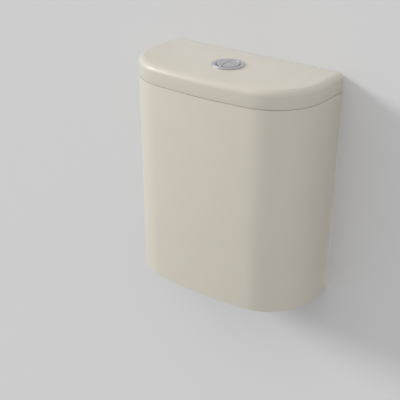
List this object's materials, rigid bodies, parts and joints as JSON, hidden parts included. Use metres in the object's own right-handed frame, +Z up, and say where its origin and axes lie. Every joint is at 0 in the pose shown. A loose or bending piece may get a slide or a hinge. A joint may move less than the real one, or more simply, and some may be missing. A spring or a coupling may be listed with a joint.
{
  "type": "toilet cistern",
  "caption": "Wall-hung D-plan plastic toilet cistern with a loose lid, two-part push button, lever-worked flush valve and float-worked fill valve.",
  "frame": {"origin": "on the wall plane, halfway between the two wall-fixing holes", "axes": "+Y towards the wall, +Z up, +X to the right as seen from the front"},
  "size_m": [0.38, 0.174, 0.4584],
  "materials": {
    "cistern_plastic": "smooth moulded, satin gloss, warm white",
    "bright_chrome": "chrome plated, polished",
    "satin_chrome": "chrome plated, satin",
    "white_acetal": "moulded, fine satin",
    "grey_polypropylene": "moulded, matt",
    "blue_plastic": "moulded, satin",
    "green_plastic": "moulded, satin",
    "float_plastic": "moulded, satin",
    "black_rubber": "moulded, matt",
    "red_silicone": "moulded, soft",
    "stainless": "drawn and cut",
    "brass_nut": "machined"
  },
  "bodies": {
    "cistern": {"tank_shell": "cistern_plastic", "outlet_gasket": "black_rubber", "outlet_back_nut": "grey_polypropylene", "flush_valve_base": "white_acetal", "valve_tower": "white_acetal", "lever_bracket": "grey_polypropylene", "lever_shaft": "stainless", "shaft_clip": "stainless", "fill_valve_stem": "white_acetal", "inlet_gasket": "black_rubber", "inlet_back_nut": "brass_nut", "inlet_filter": "stainless", "fill_valve_head": "white_acetal", "fill_diaphragm": "black_rubber", "fill_valve_bonnet": "grey_polypropylene", "float_arm_pin": "stainless", "quiet_fill_tube": "white_acetal", "blanking_plug": "white_acetal", "blanking_gasket": "black_rubber", "blanking_back_nut": "brass_nut"},
    "lid": {"cistern_lid": "cistern_plastic", "button_bezel": "bright_chrome", "button_barrel": "white_acetal", "barrel_lock_nut": "grey_polypropylene"},
    "full_button": {"full_flush_button": "satin_chrome", "full_push_rod": "blue_plastic", "full_return_spring": "stainless"},
    "half_button": {"half_flush_button": "satin_chrome", "half_push_rod": "green_plastic", "half_return_spring": "stainless"},
    "full_lever": {"full_flush_lever": "blue_plastic"},
    "half_lever": {"half_flush_lever": "green_plastic"},
    "valve_core": {"overflow_tube": "grey_polypropylene", "outlet_seal": "red_silicone", "seal_retainer": "white_acetal", "full_flush_float": "grey_polypropylene", "lift_yoke": "white_acetal"},
    "half_float": {"half_flush_link": "green_plastic", "half_flush_float": "grey_polypropylene"},
    "float_arm": {"float_arm": "blue_plastic", "float_cup": "float_plastic", "level_screw": "blue_plastic"}
  },
  "joints": [
    {"name": "lid_lift", "type": "slide", "parent": "cistern", "child": "lid", "axis": [0, 0, 1], "range_m": [0, 0.14]},
    {"name": "full_button_press", "type": "slide", "parent": "lid", "child": "full_button", "axis": [0, 0, -1], "range_m": [0, 0.008], "stiffness_N_per_m": 250, "springref_m": -0.012, "deforming": ["full_return_spring"]},
    {"name": "half_button_press", "type": "slide", "parent": "lid", "child": "half_button", "axis": [0, 0, -1], "range_m": [0, 0.008], "stiffness_N_per_m": 250, "springref_m": -0.012, "deforming": ["half_return_spring"]},
    {"name": "full_lever_turn", "type": "hinge", "parent": "cistern", "child": "full_lever", "pos_m": [0, -0.081, -0.013], "axis": [0, 1, 0], "range_deg": [0, 35.84]},
    {"name": "half_lever_turn", "type": "hinge", "parent": "cistern", "child": "half_lever", "pos_m": [0, -0.081, -0.013], "axis": [0, -1, 0], "range_deg": [0, 35.84]},
    {"name": "valve_core_lift", "type": "slide", "parent": "cistern", "child": "valve_core", "axis": [0, 0, 1], "range_m": [0, 0.01108]},
    {"name": "half_float_lift", "type": "slide", "parent": "cistern", "child": "half_float", "axis": [0, 0, 1], "range_m": [0, 0.01108]},
    {"name": "float_arm_swing", "type": "hinge", "parent": "cistern", "child": "float_arm", "pos_m": [-0.114, -0.06, -0.0505], "axis": [0, -1, 0], "range_deg": [0, 30]}
  ],
  "couplings": [
    {"joint": "full_lever_turn", "follows": "full_button_press", "rad_per_m": 78.19},
    {"joint": "valve_core_lift", "follows": "full_button_press", "ratio": 1.3846},
    {"joint": "half_lever_turn", "follows": "half_button_press", "rad_per_m": 78.19},
    {"joint": "half_float_lift", "follows": "half_button_press", "ratio": 1.3846}
  ]
}
